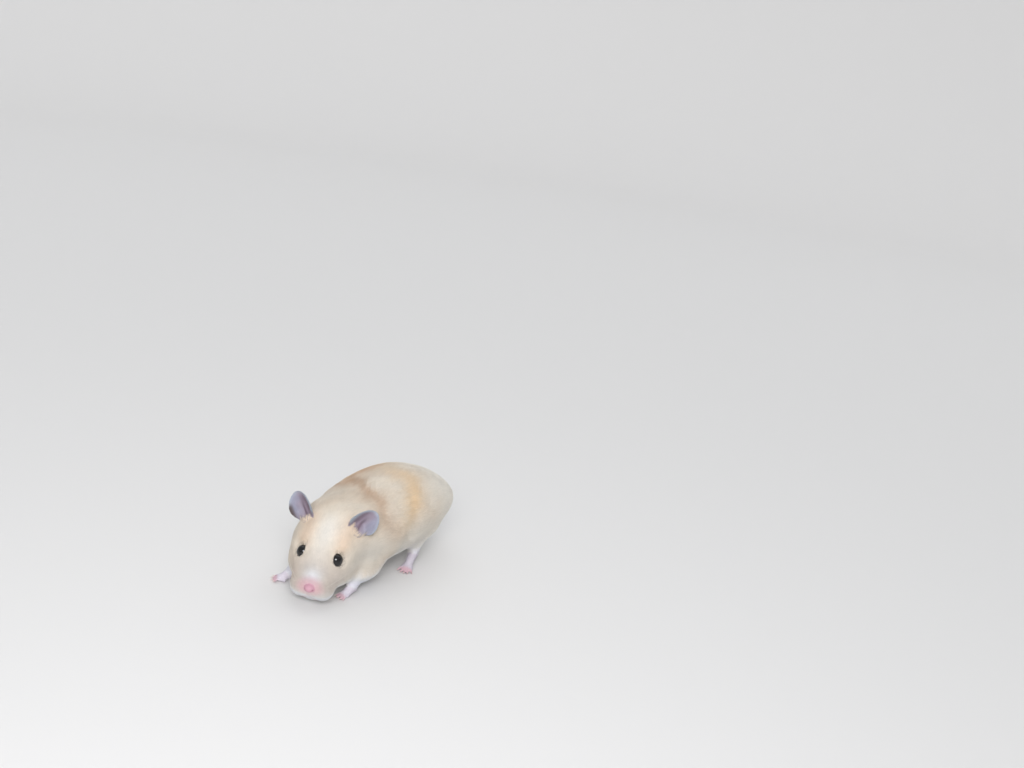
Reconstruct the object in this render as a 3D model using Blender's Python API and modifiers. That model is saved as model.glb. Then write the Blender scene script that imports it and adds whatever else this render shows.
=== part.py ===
"""A life-size Syrian hamster (Mesocricetus auratus), walking with its head turned to its left.

The figure faces -Y, with +Z up and its left side at +X. Sizes are in millimetres, out to the tips
of the coat, and MM turns them into metres. The flesh is fused from lofts and balls into one form,
which thin cuts then part into the pieces that a person would name.
"""

import math

import bmesh
import bpy
import numpy as np
from mathutils import Matrix, Vector

MM = 0.001
GAP = 0.3  # between neighbouring pieces
FLOOR_CUT = 0.35  # the soles are pressed this far into the floor, which makes them flat
SIDES = {"left": 1, "right": -1}
SHARP_ANGLE = 40  # edges bent more than this many degrees stay sharp

# Fineness of the faceted flesh.
BODY_SOFTNESS, LIMB_SOFTNESS = 22, 4  # rounds of smoothing
BODY_TRIANGLES, PAW_TRIANGLES = 2200, 240
CUT_SEGMENTS, EAR_MESH = 12, 9

# Trunk. Each station along the spine: y, middle x, top z, bottom z, half width.
TRUNK_FRONT, TRUNK_REAR = -30.0, 68.0
TRUNK = (
    (-30, -3.2, 38.0, 4.8, 18.0),
    (-16, -3.4, 43.5, 4.3, 22.0),
    (-2, -3.0, 46.5, 4.3, 24.5),
    (14, -2.2, 49.3, 6.0, 25.4),
    (30, -1.2, 49.6, 8.2, 24.4),
    (46, -0.6, 45.5, 11.6, 21.5),
    (60, -0.4, 40.5, 14.0, 20.0),
    (68, -0.4, 38.5, 14.5, 21.0),
)
TRUNK_CAP = 5.0  # how square the rounded ends are
NAPE = (-4.0, -15, 25), (21, 18, 19)  # a ball that fills in behind the skull
SEAT = (-0.4, 49.0, 24), (14.5, 18.5, 17)  # a ball that rounds the rump below
SHOULDERS_X = -3.0

# Head, in its own frame: origin midway between the eyes, facing -Y. Same columns as TRUNK.
HEAD_AT = (2.1, -36.4, 23.0)
HEAD_YAW, HEAD_PITCH, HEAD_ROLL = 19.5, 28.0, 5.0
HEAD_NOSE, HEAD_NAPE = -15.6, 27.0
HEAD = (
    (-15.6, 0, -2.6, -15.8, 8.2),
    (-11, 0, -0.6, -18.4, 10.4),
    (-6, 0, 2.4, -19.9, 12.5),
    (0, 0, 5.7, -20.4, 14.2),
    (6, 0, 8.2, -20.6, 16.5),
    (13, 0, 9.8, -20.6, 18.0),
    (20, 0, 10.0, -19.4, 18.4),
    (27, 0, 9.0, -17.5, 17.5),
)
HEAD_CAP = 2.8
# Balls that round the head out, in its frame: middle and radii. Those with x get a mirrored twin.
WHISKER_PAD = (5.0, -10.0, -10.6), (6.0, 5.8, 6.0)
CHEEK_POUCH = (8.6, 7.0, -10.5), (8.6, 13.0, 9.4)
CHIN = (0, -7.5, -16.0), (6.4, 6.2, 4.4)

EYE_RADIUS = 3.15
EYE_AT = (7.7, -0.1, 0.1)  # left eye in the head frame
EYE_LOOKS = (0.80, -0.16, 0.58)
EYE_DISH, EYE_DISH_FLOOR = 6.5, 1.0  # a shallow dish round each eye: its radius, and how far out
NOSE_AT, NOSE_SIZE = (0, -14.1, -6.4), (2.6, 1.9, 1.8)

# Ears, in the head frame, for the left one; the right one mirrors it.
EAR_ROOT = (10.2, 14.0, 2.6)
EAR_RISES, EAR_FACES = (8.4, 6.0, 9.5), (0.1, -0.95, 0.3)
EAR_LENGTH, EAR_WIDTH, EAR_THICKNESS = 16.0, 12.0, 0.9
EAR_CUP = 3.4  # how far its edges stand in front of its middle

# Legs: wrist or ankle, and the direction of the toes in degrees from -Y towards +X.
FORE_WRIST = {"left": (10.6, -20.4, 4.4), "right": (-18.6, -30.0, 4.4)}
FORE_HEADING = {"left": -10, "right": -48}
HIND_ANKLE = {"left": (12.8, 29.0, 6.6), "right": (-11.8, 43.0, 6.6)}
HIND_HEADING = {"left": 16, "right": -14}
UPPER_ARM = (12.0, -12.0, 14), (10.0, 12, 10)  # beside the middle of the shoulders
ELBOW_X = {"left": 5.7, "right": -15.3}
ELBOW_BEHIND, ELBOW_Z = 9.5, 11.0
FOREARM_RADII = (6.6, 3.0)
HAUNCH_X, HAUNCH_Z, HAUNCH_RADII, HAUNCH_TILT = 11.5, 25, (10.5, 14, 14), 18
HAUNCH_Y, HAUNCH_FOLLOWS = 36, 0.3  # it goes this share of the way with the foot
THIGH_X, THIGH_Z, THIGH_RADII = 10.2, 15.5, (6.8, 9.0, 8.5)
KNEE_X, KNEE_Z = 11.4, 14.0
SHANK_RADII = (5.8, 3.1)

# Toes: (angle of each in its fan, length), the radius, and how far their roots spread.
FORE_DIGITS = ((-34, 3.3), (-11, 4.2), (12, 4.2), (35, 3.4))
HIND_DIGITS = ((-44, 3.6), (-17, 5.2), (0, 5.6), (17, 5.2), (42, 3.8))
FORE_TOE_RADIUS, FORE_SPREAD = 0.85, 2.2
HIND_TOE_RADIUS, HIND_SPREAD = 0.9, 2.8

TAIL_ROOT, TAIL_TIP = (-0.4, 62, 20.0), (0.2, 72.5, 18.0)
TAIL_RADII = (3.2, 1.5)

# Thin cuts: how far each piece reaches.
PAW_REACH = ((0, -3.6, 1.0), (6.6, 7.0, 4.6))  # middle and radii, from the wrist, toes towards -Y
FOOT_REACH = ((0, -6.6, 1.0), (7.6, 10.8, 6.4))  # the same from the ankle
FORELEG_REACH = (15.0, 9.0), (10.0, 12.5, 9.5)  # x and z of the middle, and the radii
HINDLEG_REACH = (17.5, 21.0), (9.5, 17.0, 17.0)  # x and z of the middle, and the radii
LEG_BEHIND = {"fore": 9.0, "hind": 5.0}  # middle of each cut behind the wrist or ankle
HEAD_REACH = ((0, 2.0, -5.5), (28.0, 25.5, 23.0))  # in the head frame
NECK_END, CHEST_END, TRUNK_END = -7.0, 12.0, 43.0  # along Y
NECK_TURN = 12.0
TAIL_REACH = 6.5  # radius of the cut round the tail, which is centred on its tip

# Each material: colour and roughness.
MATERIALS = {
    "cream_fur": ((0.72, 0.55, 0.38), 0.9),
    "white_fur": ((0.82, 0.78, 0.72), 0.9),
    "ear_skin": ((0.16, 0.13, 0.14), 0.7),
    "pink_skin": ((0.74, 0.42, 0.40), 0.55),
    "eye_black": ((0.01, 0.008, 0.008), 0.08),
}
MADE_OF = {
    "head": "cream_fur",
    "neck": "cream_fur",
    "chest": "cream_fur",
    "trunk": "cream_fur",
    "rump": "cream_fur",
    "tail": "white_fur",
    "foreleg": "white_fur",
    "hindleg": "white_fur",
    "forepaw": "pink_skin",
    "hindfoot": "pink_skin",
    "ear": "ear_skin",
    "eye": "eye_black",
    "nose": "pink_skin",
}


# ---------------------------------------------------------------- helpers


def frame(at, yaw=0.0, pitch=0.0, roll=0.0):
    """A frame at a point, turned about Z by yaw, then X by pitch and Y by roll, in degrees."""
    return (
        Matrix.Translation(Vector(at) * MM)
        @ Matrix.Rotation(math.radians(yaw), 4, "Z")
        @ Matrix.Rotation(math.radians(pitch), 4, "X")
        @ Matrix.Rotation(math.radians(roll), 4, "Y")
    )


WORLD = frame((0, 0, 0))
HEAD_FRAME = frame(HEAD_AT, HEAD_YAW, HEAD_PITCH, HEAD_ROLL)


def baked(obj, name):
    """A new object from obj as its modifiers show it, with its place in its mesh; obj is removed."""
    graph = bpy.context.evaluated_depsgraph_get()
    mesh = bpy.data.meshes.new_from_object(obj.evaluated_get(graph))
    mesh.transform(obj.matrix_world)
    bpy.data.objects.remove(obj)
    made = bpy.data.objects.new(name, mesh)
    bpy.context.scene.collection.objects.link(made)
    return made


def ball(centre, radii, at=WORLD, turn=(0, 0, 0), segments=24):
    """An ellipsoid in the frame at, with its own turn about X, Y and Z in degrees."""
    bpy.ops.mesh.primitive_uv_sphere_add(segments=segments, ring_count=segments * 2 // 3, radius=MM)
    made = bpy.context.object
    own_turn = Matrix.Rotation(math.radians(turn[2]), 4, "Z")
    own_turn @= Matrix.Rotation(math.radians(turn[1]), 4, "Y")
    own_turn @= Matrix.Rotation(math.radians(turn[0]), 4, "X")
    place = Matrix.Translation(Vector(centre) * MM) @ own_turn @ Matrix.Diagonal((*radii, 1))
    made.data.transform(at @ place)
    return made


def block(low, high, at=WORLD):
    """A box between two corners in the frame at."""
    bpy.ops.mesh.primitive_cube_add(size=1)
    made = bpy.context.object
    low, high = Vector(low), Vector(high)
    place = Matrix.Translation((low + high) / 2 * MM) @ Matrix.Diagonal((*((high - low) * MM), 1))
    made.data.transform(at @ place)
    return made


def between(stations, y):
    """The columns of stations at y, on a smooth curve through them."""
    table = np.array(stations, float)
    ys, columns = table[:, 0], table[:, 1:]
    slopes = np.gradient(columns, ys, axis=0)
    i = int(np.clip(np.searchsorted(ys, y) - 1, 0, len(ys) - 2))
    step = ys[i + 1] - ys[i]
    t = (y - ys[i]) / step
    rise, fall = 3 * t**2 - 2 * t**3, 1 - 3 * t**2 + 2 * t**3
    start, end = t * (1 - t) ** 2 * step, -(t**2) * (1 - t) * step
    return fall * columns[i] + rise * columns[i + 1] + start * slopes[i] + end * slopes[i + 1]


def loft(name, stations, front, rear, cap, at=WORLD, rings=48, around=40):
    """A closed form through oval sections along Y, rounded at both ends."""
    points, faces = [], []
    for ring in range(1, rings):
        along = -math.cos(math.pi * ring / rings)
        y = (front + rear) / 2 + along * (rear - front) / 2
        x, top, bottom, width = between(stations, y)
        size = (1 - abs(along) ** cap) ** (1 / 2)
        height = (top - bottom) / 2 * size
        for k in range(around):
            angle = 2 * math.pi * k / around
            place = (x + width * size * math.cos(angle), y, (top + bottom) / 2 + height * math.sin(angle))
            points.append(Vector(place) * MM)
    for ring in range(rings - 2):
        for k in range(around):
            a, b = ring * around + k, ring * around + (k + 1) % around
            faces.append((a, b, b + around, a + around))
    faces.append(tuple(reversed(range(around))))
    faces.append(tuple(range((rings - 2) * around, (rings - 1) * around)))
    mesh = bpy.data.meshes.new(name)
    mesh.from_pydata(points, [], faces)
    mesh.transform(at)
    made = bpy.data.objects.new(name, mesh)
    bpy.context.scene.collection.objects.link(made)
    return made


def limb(points, radii, at=WORLD, segments=16):
    """Overlapping balls along a bent line, swelling and narrowing from radius to radius."""
    balls = []
    for (start, end), (thick, thin) in zip(zip(points, points[1:]), zip(radii, radii[1:])):
        start, end = Vector(start), Vector(end)
        steps = max(2, math.ceil((end - start).length / (0.3 * min(thick, thin))))
        for k in range(steps + 1):
            t = k / steps
            radius = thick + (thin - thick) * t
            balls.append(ball(start.lerp(end, t), (radius,) * 3, at, segments=segments))
    return balls


def fused(name, pieces, voxel, smoothing):
    """One skin over overlapping pieces, which it uses up."""
    mesh = bpy.data.meshes.new(name)
    made = bpy.data.objects.new(name, mesh)
    bpy.context.scene.collection.objects.link(made)
    with bpy.context.temp_override(active_object=made, selected_editable_objects=[made, *pieces]):
        bpy.ops.object.join()
    remesh = made.modifiers.new("one skin", "REMESH")
    remesh.mode = "VOXEL"
    remesh.voxel_size = voxel * MM
    if smoothing:
        smooth = made.modifiers.new("soften", "SMOOTH")
        smooth.factor = 0.5
        smooth.iterations = smoothing
    return baked(made, name)


def thinned(obj, triangles):
    """obj with about so many triangles, kept where the form bends."""
    name = obj.name
    obj.data.calc_loop_triangles()
    decimate = obj.modifiers.new("fewer faces", "DECIMATE")
    decimate.ratio = triangles / len(obj.data.loop_triangles)
    return baked(obj, name)


def combined(obj, other, operation, name):
    """obj with a Boolean by other, as a new object; obj and other stay."""
    copy = bpy.data.objects.new(name, obj.data.copy())
    bpy.context.scene.collection.objects.link(copy)
    modifier = copy.modifiers.new(operation.lower(), "BOOLEAN")
    modifier.operation = operation
    modifier.solver = "EXACT"
    modifier.object = other
    return baked(copy, name)


def without_crumbs(obj):
    """obj with only its largest body, as a cut can leave crumbs where three pieces meet."""
    work = bmesh.new()
    work.from_mesh(obj.data)
    bodies, unseen = [], set(work.verts)
    while unseen:
        body, frontier = set(), [unseen.pop()]
        while frontier:
            vertex = frontier.pop()
            body.add(vertex)
            near = {e.other_vert(vertex) for e in vertex.link_edges} & unseen
            unseen -= near
            frontier += near
        bodies.append(body)
    bodies.sort(key=len)
    bmesh.ops.delete(work, geom=[v for body in bodies[:-1] for v in body], context="VERTS")
    work.to_mesh(obj.data)
    work.free()
    return obj


def part_off(rest, name, cutter):
    """(piece, rest): the piece of rest inside the cutter, and what is left beyond a thin gap.

    cutter is a function that makes the cutting body, larger on every side by what it is given."""
    inner, outer = cutter(0), cutter(GAP)
    piece = combined(rest, inner, "INTERSECT", name)
    left = combined(rest, outer, "DIFFERENCE", rest.name)
    for used in (inner, outer, rest):
        bpy.data.objects.remove(used)
    return without_crumbs(piece), without_crumbs(left)


def ball_cutter(centre, radii, at=WORLD):
    """Everything in an ellipsoid in the frame at."""
    return lambda extra: ball(centre, [r + extra for r in radii], at, segments=CUT_SEGMENTS)


def slab_cutter(y, reach, at=WORLD):
    """Everything from the plane y towards -Y, in the frame at."""
    return lambda extra: block((-reach, y - 4 * reach, -reach), (reach, y + extra, reach), at)


# ---------------------------------------------------------------- the forms


def head_pieces():
    """The skull, with the whisker pads, cheek pouches and chin."""
    pieces = [loft("skull", HEAD, HEAD_NOSE, HEAD_NAPE, HEAD_CAP, HEAD_FRAME)]
    for (x, y, z), radii in (WHISKER_PAD, CHEEK_POUCH):
        pieces += [ball((side * x, y, z), radii, HEAD_FRAME) for side in SIDES.values()]
    pieces.append(ball(*CHIN, HEAD_FRAME))
    return pieces


def trunk_pieces():
    """The torso, with the nape, seat, upper arms, haunches and thighs."""
    pieces = [loft("torso", TRUNK, TRUNK_FRONT, TRUNK_REAR, TRUNK_CAP), ball(*NAPE), ball(*SEAT)]
    for name, side in SIDES.items():
        ankle_y = HIND_ANKLE[name][1]
        haunch = (side * HAUNCH_X, HAUNCH_Y + HAUNCH_FOLLOWS * (ankle_y - HAUNCH_Y), HAUNCH_Z)
        pieces.append(ball(haunch, HAUNCH_RADII, turn=(HAUNCH_TILT, 0, 0)))
        pieces.append(ball((side * THIGH_X, ankle_y + 1.5, THIGH_Z), THIGH_RADII))
        (x, y, z), radii = UPPER_ARM
        pieces.append(ball((SHOULDERS_X + side * x, y, z), radii))
    return pieces


def limb_pieces():
    """The tail, and the forearms and shanks with their fur, down to the wrists and ankles."""
    pieces = limb((TAIL_ROOT, TAIL_TIP), TAIL_RADII)
    for name, side in SIDES.items():
        wrist, ankle = FORE_WRIST[name], HIND_ANKLE[name]
        elbow = (ELBOW_X[name], wrist[1] + ELBOW_BEHIND, ELBOW_Z)
        pieces += limb((elbow, wrist), FOREARM_RADII)
        knee = (side * KNEE_X, ankle[1] - 0.5, KNEE_Z)
        pieces += limb((knee, ankle), SHANK_RADII)
    return pieces


def digits(fan, root_y, root_z, spread, radius, at):
    """Toes that fan out from the front of a paw, each bent once and set down at its tip."""
    pieces = []
    for angle, length in fan:
        turn = math.radians(angle)
        root = Vector((spread * math.sin(turn), root_y - spread * (1 - math.cos(turn)), root_z))
        way = Vector((math.sin(turn * 0.75), -math.cos(turn * 0.75), 0))
        knuckle = root + way * length * 0.55 + Vector((0, 0, 0.25))
        tip = root + way * length
        tip.z = radius * 0.95
        pieces += limb((root, knuckle, tip), (radius * 1.1, radius * 1.05, radius * 0.85), at, 12)
    return pieces


def forepaw(name):
    """A wrist, palm, stub of a thumb and four toes, sunk by FLOOR_CUT."""
    x, y, z = FORE_WRIST[name]
    at = frame((x, y, -FLOOR_CUT), FORE_HEADING[name])
    pieces = limb(((0, 0.4, z), (0, -3.4, 2.2)), (2.7, 2.1), at)
    pieces.append(ball((0, -4.0, 1.9), (3.0, 2.9, 1.75), at))
    pieces.append(ball((-SIDES[name] * 2.3, -2.6, 1.6), (1.0, 1.2, 1.1), at))  # thumb stub
    return pieces + digits(FORE_DIGITS, -4.0, 1.7, FORE_SPREAD, FORE_TOE_RADIUS, at)


def hindfoot(name):
    """A heel, sole and five toes, sunk by FLOOR_CUT."""
    x, y, z = HIND_ANKLE[name]
    at = frame((x, y, -FLOOR_CUT), HIND_HEADING[name])
    pieces = limb(((0, 0.6, z), (0, -9.0, 2.5)), (2.8, 2.3), at)
    pieces.append(ball((0, -9.6, 2.1), (3.5, 3.4, 2.0), at))
    return pieces + digits(HIND_DIGITS, -9.6, 1.8, HIND_SPREAD, HIND_TOE_RADIUS, at)


def ear(name, head):
    """A cupped, rounded shell that opens forwards, with its root in the head's fur."""
    side = SIDES[name]
    bpy.ops.mesh.primitive_grid_add(x_subdivisions=EAR_MESH, y_subdivisions=EAR_MESH, size=2)
    made = bpy.context.object
    for vertex in made.data.vertices:
        x, y, _ = vertex.co
        across, along = x * math.sqrt(1 - y * y / 2), y * math.sqrt(1 - x * x / 2)
        up = (along + 1) / 2
        across *= 0.72 + 0.28 * math.sin(math.pi * min(1.0, up * 1.5) / 2)
        forward = EAR_CUP * (across**2 - 0.25) * (1.15 - 0.55 * up) - 1.6 * up**2
        vertex.co = (EAR_WIDTH / 2 * across * MM, -forward * MM, EAR_LENGTH * up * MM)
    shell = made.modifiers.new("thickness", "SOLIDIFY")
    shell.thickness = EAR_THICKNESS * MM
    shell.offset = 0
    rises = Vector((side * EAR_RISES[0], *EAR_RISES[1:])).normalized()
    faces = Vector((side * EAR_FACES[0], *EAR_FACES[1:]))
    back = -(faces - faces.dot(rises) * rises).normalized()
    place = Matrix((back.cross(rises), back, rises)).transposed().to_4x4()
    place.translation = Vector((side * EAR_ROOT[0], *EAR_ROOT[1:])) * MM
    made.matrix_world = HEAD_FRAME @ place
    made = baked(made, "ear shell")
    grown = combined(head, head, "UNION", "grown head")
    swell = grown.modifiers.new("gap", "DISPLACE")
    swell.strength = GAP * MM
    swell.mid_level = 0
    grown = baked(grown, "grown head")
    cut = combined(made, grown, "DIFFERENCE", "ear_" + name)
    for used in (made, grown):
        bpy.data.objects.remove(used)
    return cut


def eye(name):
    """A glossy ball, larger than the opening between the lids."""
    side = SIDES[name]
    made = ball((side * EYE_AT[0], *EYE_AT[1:]), (EYE_RADIUS,) * 3, HEAD_FRAME, segments=14)
    made.name = "eye_" + name
    return made


def whole_flesh():
    """All the flesh as one body: head and trunk, legs, paws and soles flat on the floor."""
    body = fused("flesh", head_pieces() + trunk_pieces(), 1.0, BODY_SOFTNESS)
    body = fused("flesh", [body, *limb_pieces()], 0.8, LIMB_SOFTNESS)
    body = thinned(body, BODY_TRIANGLES)
    for name in SIDES:
        for make in (forepaw, hindfoot):
            paw = thinned(fused("paw", make(name), 0.35, 2), PAW_TRIANGLES)
            joined = combined(body, paw, "UNION", "flesh")
            for used in (body, paw):
                bpy.data.objects.remove(used)
            body = joined
    floor = block((-100, -100, -10), (100, 100, 0))
    standing = combined(body, floor, "DIFFERENCE", "flesh")
    for used in (body, floor):
        bpy.data.objects.remove(used)
    return standing


def socketed(rest, middle, radii):
    """rest with a hollow in the head, a gap wider than a ball that it is for."""
    hollow = ball(middle, [r + GAP for r in radii], HEAD_FRAME, segments=14)
    cut = combined(rest, hollow, "DIFFERENCE", rest.name)
    for used in (rest, hollow):
        bpy.data.objects.remove(used)
    return cut


def parted(rest):
    """The named pieces of the flesh, cut off one after another."""
    pieces = []

    def take(name, cutter):
        nonlocal rest
        piece, rest = part_off(rest, name, cutter)
        pieces.append(piece)

    for name in SIDES:
        wrist = frame((*FORE_WRIST[name][:2], 0), FORE_HEADING[name])
        take("forepaw_" + name, ball_cutter(*PAW_REACH, wrist))
        ankle = frame((*HIND_ANKLE[name][:2], 0), HIND_HEADING[name])
        take("hindfoot_" + name, ball_cutter(*FOOT_REACH, ankle))
    for name, side in SIDES.items():
        (x, z), radii = FORELEG_REACH
        y = FORE_WRIST[name][1] + LEG_BEHIND["fore"]
        take("foreleg_" + name, ball_cutter((SHOULDERS_X + side * x, y, z), radii))
        (x, z), radii = HINDLEG_REACH
        y = HIND_ANKLE[name][1] + LEG_BEHIND["hind"]
        take("hindleg_" + name, ball_cutter((side * x, y, z), radii))
    take("tail", ball_cutter(TAIL_TIP, (TAIL_REACH,) * 3))
    take("head", ball_cutter(*HEAD_REACH, HEAD_FRAME))
    take("neck", slab_cutter(NECK_END, 100, frame((0, 0, 0), NECK_TURN)))
    take("chest", slab_cutter(CHEST_END, 100))
    take("trunk", slab_cutter(TRUNK_END, 100))
    rest.name = "rump"
    return pieces + [rest]


def finished(pieces):
    """Puts the pieces in the hamster's collection, on the floor and centred, with their materials."""
    home = bpy.data.collections.new("syrian_hamster")
    bpy.context.scene.collection.children.link(home)
    corners = np.array([v.co for obj in pieces for v in obj.data.vertices])
    low, high = corners.min(axis=0), corners.max(axis=0)
    centre = Vector(((low[0] + high[0]) / 2, (low[1] + high[1]) / 2, low[2]))
    materials = {}
    for name, (colour, roughness) in MATERIALS.items():
        material = materials[name] = bpy.data.materials.new(name)
        material.use_nodes = True
        shader = material.node_tree.nodes["Principled BSDF"]
        shader.inputs["Base Color"].default_value = (*colour, 1)
        shader.inputs["Roughness"].default_value = roughness
        shader.inputs["Metallic"].default_value = 0
        material.diffuse_color = (*colour, 1)
    for obj in pieces:
        obj.data.transform(Matrix.Translation(-centre))
        obj.data.materials.clear()
        obj.data.materials.append(materials[MADE_OF[obj.name.split("_")[0]]])
        obj.data.shade_smooth()
        obj.data.set_sharp_from_angle(angle=math.radians(SHARP_ANGLE))
        for other in list(obj.users_collection):
            other.objects.unlink(obj)
        home.objects.link(obj)


def main():
    for obj in list(bpy.data.objects):
        bpy.data.objects.remove(obj)
    flesh = whole_flesh()
    ears = [ear(name, flesh) for name in SIDES]
    eyes = [eye(name) for name in SIDES]
    nose = ball(NOSE_AT, NOSE_SIZE, HEAD_FRAME, segments=12)
    nose.name = "nose"
    for side in SIDES.values():
        flesh = socketed(flesh, (side * EYE_AT[0], *EYE_AT[1:]), (EYE_RADIUS,) * 3)
        dish = Vector(EYE_AT) + (EYE_DISH + EYE_DISH_FLOOR) * Vector(EYE_LOOKS).normalized()
        flesh = socketed(flesh, (side * dish.x, dish.y, dish.z), (EYE_DISH - GAP,) * 3)
    flesh = socketed(flesh, NOSE_AT, NOSE_SIZE)
    finished([*parted(flesh), *ears, *eyes, nose])


main()
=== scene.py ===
"""The looks of the Syrian hamster: skin, coat of fur tufts, eyes, claws, whiskers; and a studio.

Forms are worked out in millimetres, as arrays with one row for each point, in the frame of the CAD
model: -Y towards the nose, +Z up, +X to the animal's left. Meshes are in metres.
"""

import math
from itertools import product

import bmesh
import bpy
import numpy as np
from mathutils import Matrix, Vector
from mathutils.bvhtree import BVHTree
from mathutils.kdtree import KDTree


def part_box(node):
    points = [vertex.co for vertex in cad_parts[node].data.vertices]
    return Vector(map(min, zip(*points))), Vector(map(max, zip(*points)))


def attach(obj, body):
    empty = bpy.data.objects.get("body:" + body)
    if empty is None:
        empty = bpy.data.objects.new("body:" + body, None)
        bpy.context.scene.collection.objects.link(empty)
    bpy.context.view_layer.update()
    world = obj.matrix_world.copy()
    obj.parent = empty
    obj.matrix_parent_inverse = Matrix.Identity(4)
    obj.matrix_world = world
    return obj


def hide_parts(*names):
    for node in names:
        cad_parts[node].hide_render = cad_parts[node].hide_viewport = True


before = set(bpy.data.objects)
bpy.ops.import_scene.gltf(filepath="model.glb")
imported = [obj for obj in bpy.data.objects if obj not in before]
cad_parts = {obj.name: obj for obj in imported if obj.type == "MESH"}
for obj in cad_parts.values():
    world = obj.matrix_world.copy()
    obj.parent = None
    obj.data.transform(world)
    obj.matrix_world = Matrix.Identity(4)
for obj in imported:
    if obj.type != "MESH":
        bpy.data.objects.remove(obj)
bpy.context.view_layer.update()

MM = 0.001
BODY = "root"
SIDES = {"left": 1, "right": -1}
SEED = 7
FAR = 99.0  # a distance beyond any that matters

# ---- sizes, in millimetres

SKIN_VOXEL = 0.30
SKIN_TRIANGLES = 190000
SWELL = 0.26  # closes the thin cuts between the solids before they are fused
FUSING_ROUNDS = 70  # of softening, after which the joints between the solids are gone
TUFTS = 244000
TUFTS_PER_PIECE = 33000
TUFTS_PER_LOCK = 24  # tufts that lean together
UNWRAP_TRIANGLES = 6000
UV_PATCH = 0.003
FLOOR_CLEARANCE = 0.12  # of hair tips over the floor

# Coat: (depth over the skin, length of a tuft, half its width).
COAT_BODY = np.array((1.7, 6.2, 0.095))
COAT_NOSE = np.array((0.16, 1.5, 0.037))
COAT_LEG = (0.5, 2.4, 0.065)
COAT_PAW = (0.12, 0.9, 0.045)
COAT_EAR = (0.08, 0.65, 0.03)
COAT_TAIL = (0.3, 1.4, 0.055)
COAT_GROWS = 7.0, 52.0  # the distances from the nose between which the coat lengthens


def middle(node):
    """The middle of a CAD node's box, in millimetres."""
    low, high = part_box(node)
    return np.array((low + high) / 2) / MM


EYES = {side: middle("eye_" + side) for side in SIDES}
EYE_RADIUS = 3.15
EYE_LOOKS = (0.80, -0.16, 0.58)  # the left eye, in the head's frame
LID_ANGLE = 70  # of the lids from the middle of the eye, in degrees
LID_EDGE = 1.9  # points this near to it, in degrees, are moved onto it
BETWEEN_EYES = (EYES["left"] + EYES["right"]) / 2
NOSE = middle("nose")
NOSE_PAD = (2.6, 2.4, 2.0)  # half the bare nose's sizes
BARE_LIPS = 0.46  # no hair nearer to the lips' edge than this
NOSE_DROP = math.atan2(6.5, 14.0)  # of the nose below the head's own level, from between the eyes
TAIL = middle("tail")

EAR_ROOT = (10.2, 14.1, 2.5)  # the left ear, in the head's frame
EAR_RISES, EAR_FACES = (8.4, 6.0, 9.5), (0.1, -0.95, 0.3)
EAR_LENGTH, EAR_WIDTH, EAR_THICKNESS = 16.0, 12.0, 0.85
EAR_CUP = 3.4
EAR_FLARE = 0.24  # how much wider its inner half is below the middle
# Its folds: (height, place across, width, lean outwards, where it rises, where it ends).
EAR_FOLDS = (
    (0.9, 0.34, 0.11, 0.25, (0.1, 0.35), (0.5, 0.85)),
    (0.7, -0.30, 0.10, 0, (0.05, 0.25), (0.4, 0.7)),
    (-0.5, 0.02, 0.16, 0, (0.15, 0.4), (0.5, 0.85)),
)
EAR_BOWL = (0, -1.6, 5.0)  # the middle of its bowl, in the ear's frame
BARE_BOWL = 3.6  # no hair nearer to it than this
EAR_BASE, EAR_BASE_SIZE = (0, 0.9, -0.6), (3.6, 2.4, 3.6)  # the flesh under its root

# Paws: wrist or ankle, and the way the toes point, in degrees from -Y towards +X.
PAWS = {
    "forepaw_left": ((12.775, -33.491, 4.4), -10),
    "forepaw_right": ((-16.425, -43.091, 4.4), -48),
    "hindfoot_left": ((14.975, 15.909, 6.6), 16),
    "hindfoot_right": ((-9.625, 29.909, 6.6), -14),
}
FLOOR_CUT = 0.35  # the soles are pressed this far into the floor
SOLE_HEIGHT = 1.3  # no hair on what faces down below this
# Toes as (angle, length), then how far apart their roots stand and how thick they are.
FORE_TOES = ((-34, 3.3), (-11, 4.2), (12, 4.2), (35, 3.4)), 2.2, 0.74
HIND_TOES = ((-44, 3.6), (-17, 5.2), (0, 5.6), (17, 5.2), (42, 3.8)), 2.8, 0.80


def head_axes():
    """The head's own axes as rows: to its left, back from the nose, and up."""
    across = EYES["left"] - EYES["right"]
    across /= np.linalg.norm(across)
    ahead = NOSE - BETWEEN_EYES
    ahead -= ahead.dot(across) * across
    ahead /= np.linalg.norm(ahead)
    below = np.cross(across, ahead)
    back = -math.cos(NOSE_DROP) * ahead + math.sin(NOSE_DROP) * below
    up = -math.sin(NOSE_DROP) * ahead - math.cos(NOSE_DROP) * below
    return np.array((across, back, up))


HEAD_AXES = head_axes()


def in_head(points):
    """Points in the head's frame: x to its left, y back, z up, from between the eyes."""
    return (points - BETWEEN_EYES) @ HEAD_AXES.T


def from_head(local):
    """Points given in the head's frame, in the model's."""
    return local @ HEAD_AXES + BETWEEN_EYES


def turned(direction, side=1):
    """A direction given in the head's frame for the left side, in the model's."""
    return unit(np.multiply(direction, (side, 1, 1)) @ HEAD_AXES)


# ---- numbers over many points


def step(low, high, values):
    """0 below low, 1 above high, and a smooth rise between."""
    t = np.clip((values - low) / (high - low), 0, 1)
    return t * t * (3 - 2 * t)


def fall(low, high, values):
    """1 below low, 0 above high, and a smooth fall between."""
    return 1 - step(low, high, values)


def bump(middle_value, width, values):
    """1 at a value, falling smoothly to almost 0 two widths away."""
    return np.exp(-(((values - middle_value) / width) ** 2))


def unit(vectors):
    return vectors / np.maximum(np.linalg.norm(vectors, axis=-1, keepdims=True), 1e-9)


def length(vectors):
    return np.linalg.norm(vectors, axis=-1)


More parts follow.
